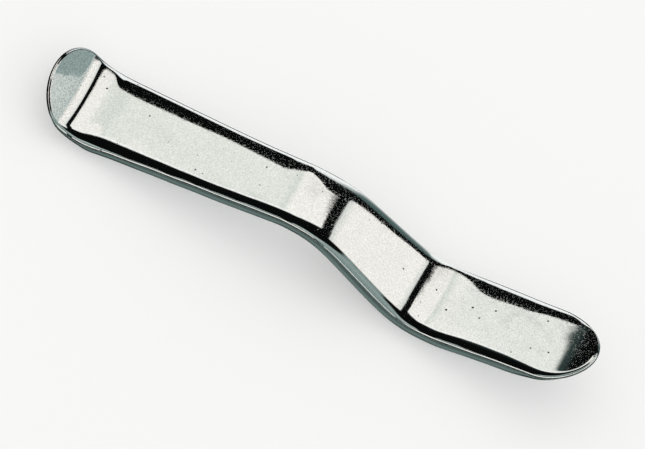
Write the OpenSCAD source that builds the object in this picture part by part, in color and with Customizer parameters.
// One-piece forged pry lever: a flat bar with an upturned lip at one end,
// a stepped (S-bent) middle and a rounded, slightly curled-up spoon tip.
// A flat plate outline is bent along the side profile of the bar.
// Millimetres, +Z up. The lever rests on the table z = 0, centred on x = 0 and y = 0:
// +X runs along the bar from the lip to the spoon tip, Y runs across the bar.

/* [Lip] */
// Length of the straight outer part of the lip, along the bar
lip_straight = 7.1; // [5.5:0.1:9]
// Length of bar taken up by the bend at the root of the lip
lip_bend = 6.8; // [6:0.1:10]
// How steeply the lip stands up from the long arm, degrees
lip_angle = 54; // [35:1:58]
// How hollow the face of the lip is, degrees of slope per millimetre
lip_hollow = 0.5; // [0:0.1:0.8]
// Full width of the lip
lip_width = 19; // [16:0.1:22]
// Length of the rounded end of the lip, along the bar
lip_round = 9.5; // [7:0.1:11]
// Thickness of the lip at its rim
lip_thick = 1; // [0.8:0.1:1.6]

/* [Long arm] */
// Length of the straight long arm between the lip bend and the first step bend
long_arm = 42.2; // [32:0.1:60]
// Width of the long arm near the lip
root_width = 17.7; // [15:0.1:20]
// Width of the waist, at the start of the first step bend
waist_width = 15; // [12:0.1:17]

/* [Step] */
// Length of bar taken up by the first step bend, downwards
bend_1 = 21.4; // [18:0.1:28]
// Turn of the first step bend, degrees
bend_1_angle = 44; // [20:0.5:48]
// Length of the straight ramp between the two step bends
ramp = 6; // [2:0.1:12]
// Length of bar taken up by the second step bend, upwards
bend_2 = 21.9; // [18:0.1:28]
// Length of the tight core of the second step bend
bend_2_core = 9; // [7:0.1:14]
// Share of the second step bend's turn that is made in its core
bend_2_crisp = 0.5; // [0:0.05:0.6]
// How much the short arm rises against the long arm, degrees
short_arm_angle = 4.5; // [0:0.5:8]
// Width of the bar just past the second step bend
heel_width = 17.5; // [15:0.1:20]

/* [Spoon end] */
// Length of the straight short arm before the tip starts to curl
short_arm = 19.5; // [15:0.5:30]
// Length of bar taken up by the curl of the tip
tip_bend = 9; // [7:0.1:12]
// How much the tip curls up, degrees
tip_angle = 14; // [0:0.5:22]
// Length of the straight rim beyond the curl
tip_straight = 0.4; // [0.3:0.1:3]
// Full width of the spoon end, before its outline rounds off
tip_width = 16; // [14:0.1:18]
// Length of the rounded end of the spoon tip, along the bar
tip_round = 11.5; // [9:0.1:14]
// Thickness of the spoon tip at its rim
tip_thick = 1.4; // [1:0.1:2]

/* [Cross-section] */
// Thickness of the bar along its arms
bar_thick = 5.5; // [4.5:0.1:7]
// Depth of the forging's parting line below the top face
parting_depth = 1.35; // [1:0.05:1.8]
// How far the rounded shoulder reaches in from the parting line
shoulder_width = 3.5; // [2:0.1:3.8]
// Width of the trimmed ledge left along the parting line
ledge_width = 0.22; // [0.1:0.02:0.35]
// Height of the trimmed land under the ledge
land_height = 0.45; // [0.3:0.05:0.7]
// Draft of the lower flank: how far it leans in from the land to the underside
draft = 0.3; // [0.1:0.05:0.6]
// Radius of the lower edges of the bar
lower_radius = 0.9; // [0.5:0.1:1.5]

/* [Hidden] */

// ---- Places along the bar: pos is the length along the top face from the lip's rim ----
long_arm_start = lip_straight + lip_bend;
bend_1_start = long_arm_start + long_arm;
ramp_start = bend_1_start + bend_1;
bend_2_start = ramp_start + ramp;
short_arm_start = bend_2_start + bend_2;
tip_bend_start = short_arm_start + short_arm;
bar_end = tip_bend_start + tip_bend + tip_straight;

function clamp01(x) = min(max(x, 0), 1);
function mix(from, to, part) = from + (to - from) * part;
// smooth rise from 0 to 1 over a length of bar
function ease(pos, start, length) =
    let (x = clamp01((pos - start) / length))
    x * x * (3 - 2 * x);

// ---- Side profile ----
hollow_middle = 0.56 * lip_straight;           // where the hollow adds no slope
hollow_end = lip_straight + 0.72 * lip_bend;
hollow_fade = 5;                               // length over which the hollow dies out
core_start = bend_2_start + (bend_2 - bend_2_core) / 2 + 0.2; // core sits just off-centre

// slope of the top face, degrees, with the long arm level
function slope(pos) =
    -lip_angle * (1 - ease(pos, lip_straight, lip_bend))
    - lip_hollow * (hollow_middle - min(pos, hollow_end))
        * ease(hollow_end - pos, 0, hollow_fade)
    - bend_1_angle * ease(pos, bend_1_start, bend_1)
    + (bend_1_angle + short_arm_angle) * mix(
        ease(pos, bend_2_start, bend_2),
        ease(pos, core_start, bend_2_core),
        bend_2_crisp)
    + tip_angle * ease(pos, tip_bend_start, tip_bend);

// the profile is the running sum of the slope, in steps of about 0.25 mm
steps = ceil(bar_end / 0.25);
step = bar_end / steps;
function step_slope(i) = slope((i + 0.5) * step);
profile_x = [for (i = 0, x = 0; i <= steps; x = x + step * cos(step_slope(i)), i = i + 1) x];
profile_z = [for (i = 0, z = 0; i <= steps; z = z + step * sin(step_slope(i)), i = i + 1) z];
function sample(profile, pos) =
    let (
        place = min(max(pos / step, 0), steps),
        i = min(floor(place), steps - 1)
    )
    mix(profile[i], profile[i + 1], place - i);

// carries a point of the flat plate, depth below its top face, onto the bent bar
function bent(pos, y, depth) =
    let (angle = slope(pos))
    [
        sample(profile_x, pos) + depth * sin(angle),
        y,
        sample(profile_z, pos) - depth * cos(angle)
    ];

// ---- Flat outline ----
// [pos, full width], joined by smooth curves
widths = [
    [0.9 * lip_straight, lip_width],
    [long_arm_start + 0.15 * long_arm, root_width],
    [bend_1_start, waist_width],
    [short_arm_start, heel_width],
    [bar_end, tip_width]
];
function width_slope(i) =
    let (
        before = widths[max(i - 1, 0)],
        after = widths[min(i + 1, len(widths) - 1)]
    )
    i == 0 ? 0 : (after[1] - before[1]) / (after[0] - before[0]);
// cubic curve through two values with a given rise at each
function hermite(x, from, to, from_rise, to_rise) =
    from * (2*x*x*x - 3*x*x + 1) + from_rise * (x*x*x - 2*x*x + x)
    + to * (3*x*x - 2*x*x*x) + to_rise * (x*x*x - x*x);
function full_width(pos, i = 0) =
    pos <= widths[0][0] ? widths[0][1] :
    (i < len(widths) - 2 && pos > widths[i + 1][0]) ? full_width(pos, i + 1) :
    let (
        from = widths[i],
        to = widths[i + 1],
        span = to[0] - from[0]
    )
    hermite(min((pos - from[0]) / span, 1), from[1], to[1],
        width_slope(i) * span, width_slope(i + 1) * span);
// quarter ellipse that closes an end
function round_off(x) = sqrt(max(0, 1 - pow(1 - clamp01(x), 2)));
function half_width(pos) =
    full_width(pos) / 2 * round_off(pos / lip_round) * round_off((bar_end - pos) / tip_round);

// stations, closer together in the bends and on the rounded ends
lip_stations = 12;
tip_stations = 14;
even_spans = [ // [start, end, stations]
    [lip_round, long_arm_start, 7],
    [long_arm_start, bend_1_start, 7],
    [bend_1_start, ramp_start, 13],
    [ramp_start, bend_2_start, 2],
    [bend_2_start, short_arm_start, 13],
    [short_arm_start, bar_end - tip_round, 8]
];
stations = concat(
    [for (i = [0:lip_stations - 1]) lip_round * (1 - cos(90 * i / lip_stations))],
    [for (span = even_spans, i = [0:span[2] - 1]) mix(span[0], span[1], i / span[2])],
    [for (i = [0:tip_stations]) bar_end - tip_round * (1 - sin(90 * i / tip_stations))]
);
last = len(stations) - 1;
edge = [for (pos = stations) [pos, half_width(pos)]];

// outward direction of the flat outline at each station
function outward(i) =
    i == 0 ? [-1, 0] :
    i == last ? [1, 0] :
    let (chord = edge[i + 1] - edge[i - 1])
    [-chord[1], chord[0]] / norm(chord);

// ---- Cross-section ----
lip_thinning = 10;                             // lengths over which the bar thins
tip_thinning = 18;
crease = lip_straight + 0.64 * lip_bend;       // middle of the thinning at the lip
tip_thin_end = 0.8;                            // the tip is at rim thickness this far in

// 1 along the arms, 0 at the rims
function body_part(pos) =
    ease(pos, crease - lip_thinning / 2, lip_thinning)
    * ease(bar_end - pos, tip_thin_end, tip_thinning);
// a size that goes from its value at the nearer rim to its value along the arms
function blend(pos, lip, tip, body) = mix(pos < bend_1_start ? lip : tip, body, body_part(pos));

arc_steps = 6;
corner_steps = 3;
// [inset from the outline, depth below the top face], top to bottom
function section(pos) =
    let (
        thick = blend(pos, lip_thick, tip_thick, bar_thick),
        parting = blend(pos, 0.28 * lip_thick, 0.28 * tip_thick, parting_depth),
        shoulder = blend(pos, 0.45, 1.1, shoulder_width),
        ledge = min(ledge_width, 0.3 * shoulder),
        land = min(land_height, 0.3 * thick),
        corner = min(lower_radius, 0.22 * thick),
        lean = min(draft, 0.1 * thick)
    )
    concat(
        [for (k = [0:arc_steps])
            let (angle = 90 * k / arc_steps)
            [ledge + (shoulder - ledge) * (1 - sin(angle)), parting * (1 - cos(angle))]],
        // the land, its edges slightly eased
        [[0, parting + 0.1 * land], [0, parting + 0.85 * land], [0.35 * lean, parting + land]],
        [for (k = [0:corner_steps])
            let (angle = 90 * k / corner_steps)
            [lean + corner * (1 - cos(angle)), thick - corner * (1 - sin(angle))]]
    );
rows = len(section(0));

// ---- Surface points: each row of the section is a closed ring round the bar ----
// side is 1 for +Y, -1 for -Y
function surface_point(i, row, side) =
    let (
        offsets = section(edge[i][0])[row],
        flat = edge[i] - offsets[0] * outward(i)
    )
    bent(flat[0], side * max(flat[1], 0), offsets[1]);
ring = 2 * last;
level_points = [for (row = [0:rows - 1]) each concat(
    [for (i = [0:last]) surface_point(i, row, 1)],
    [for (i = [last - 1:-1:1]) surface_point(i, row, -1)]
)];

// index of station i's point on each side
function plus_y(i, row) = row * ring + i;
function minus_y(i, row) = row * ring + (ring - i) % ring;

// ---- Resting pose: tilt about Y until the lip bend and heel both touch the table ----
underside = [for (i = [0:last]) level_points[plus_y(i, rows - 1)]];
split_x = sample(profile_x, bend_1_start);
function height(point, angle) = point[0] * sin(angle) + point[2] * cos(angle);
// how much higher the lip side's lowest point is than the tip side's
function gap(angle) =
    min([for (point = underside) if (point[0] < split_x) height(point, angle)])
    - min([for (point = underside) if (point[0] >= split_x) height(point, angle)]);
function balance(low, high, halvings = 40) =
    let (middle = (low + high) / 2)
    halvings == 0 ? middle :
    gap(middle) > 0 ? balance(middle, high, halvings - 1) :
    balance(low, middle, halvings - 1);
tilt = balance(-5, 35);
tilted = [for (point = level_points)
    [point[0] * cos(tilt) - point[2] * sin(tilt), point[1], height(point, tilt)]];
tilted_x = [for (point = tilted) point[0]];
shift = [(min(tilted_x) + max(tilted_x)) / 2, 0, min([for (point = tilted) point[2]])];
points = [for (point = tilted) point - shift];

// ---- Faces ----
// strips across the bar, with a triangle at each end
function cap(row) = [for (i = [0:last - 1]) concat(
    [plus_y(i, row), plus_y(i + 1, row)],
    i == last - 1 ? [] : [minus_y(i + 1, row)],
    i == 0 ? [] : [minus_y(i, row)]
)];
function flipped(face) = [for (k = [0:len(face) - 1]) face[(len(face) - k) % len(face)]];
side_faces = [for (row = [0:rows - 2], k = [0:ring - 1])
    let (
        this = row * ring + k,
        next = row * ring + (k + 1) % ring
    )
    each [[this, this + ring, next + ring], [this, next + ring, next]]];
faces = concat(cap(0), side_faces, [for (face = cap(rows - 1)) flipped(face)]);

module lever_bar() {
    color("silver") polyhedron(points = points, faces = faces, convexity = 6);
}

lever_bar();
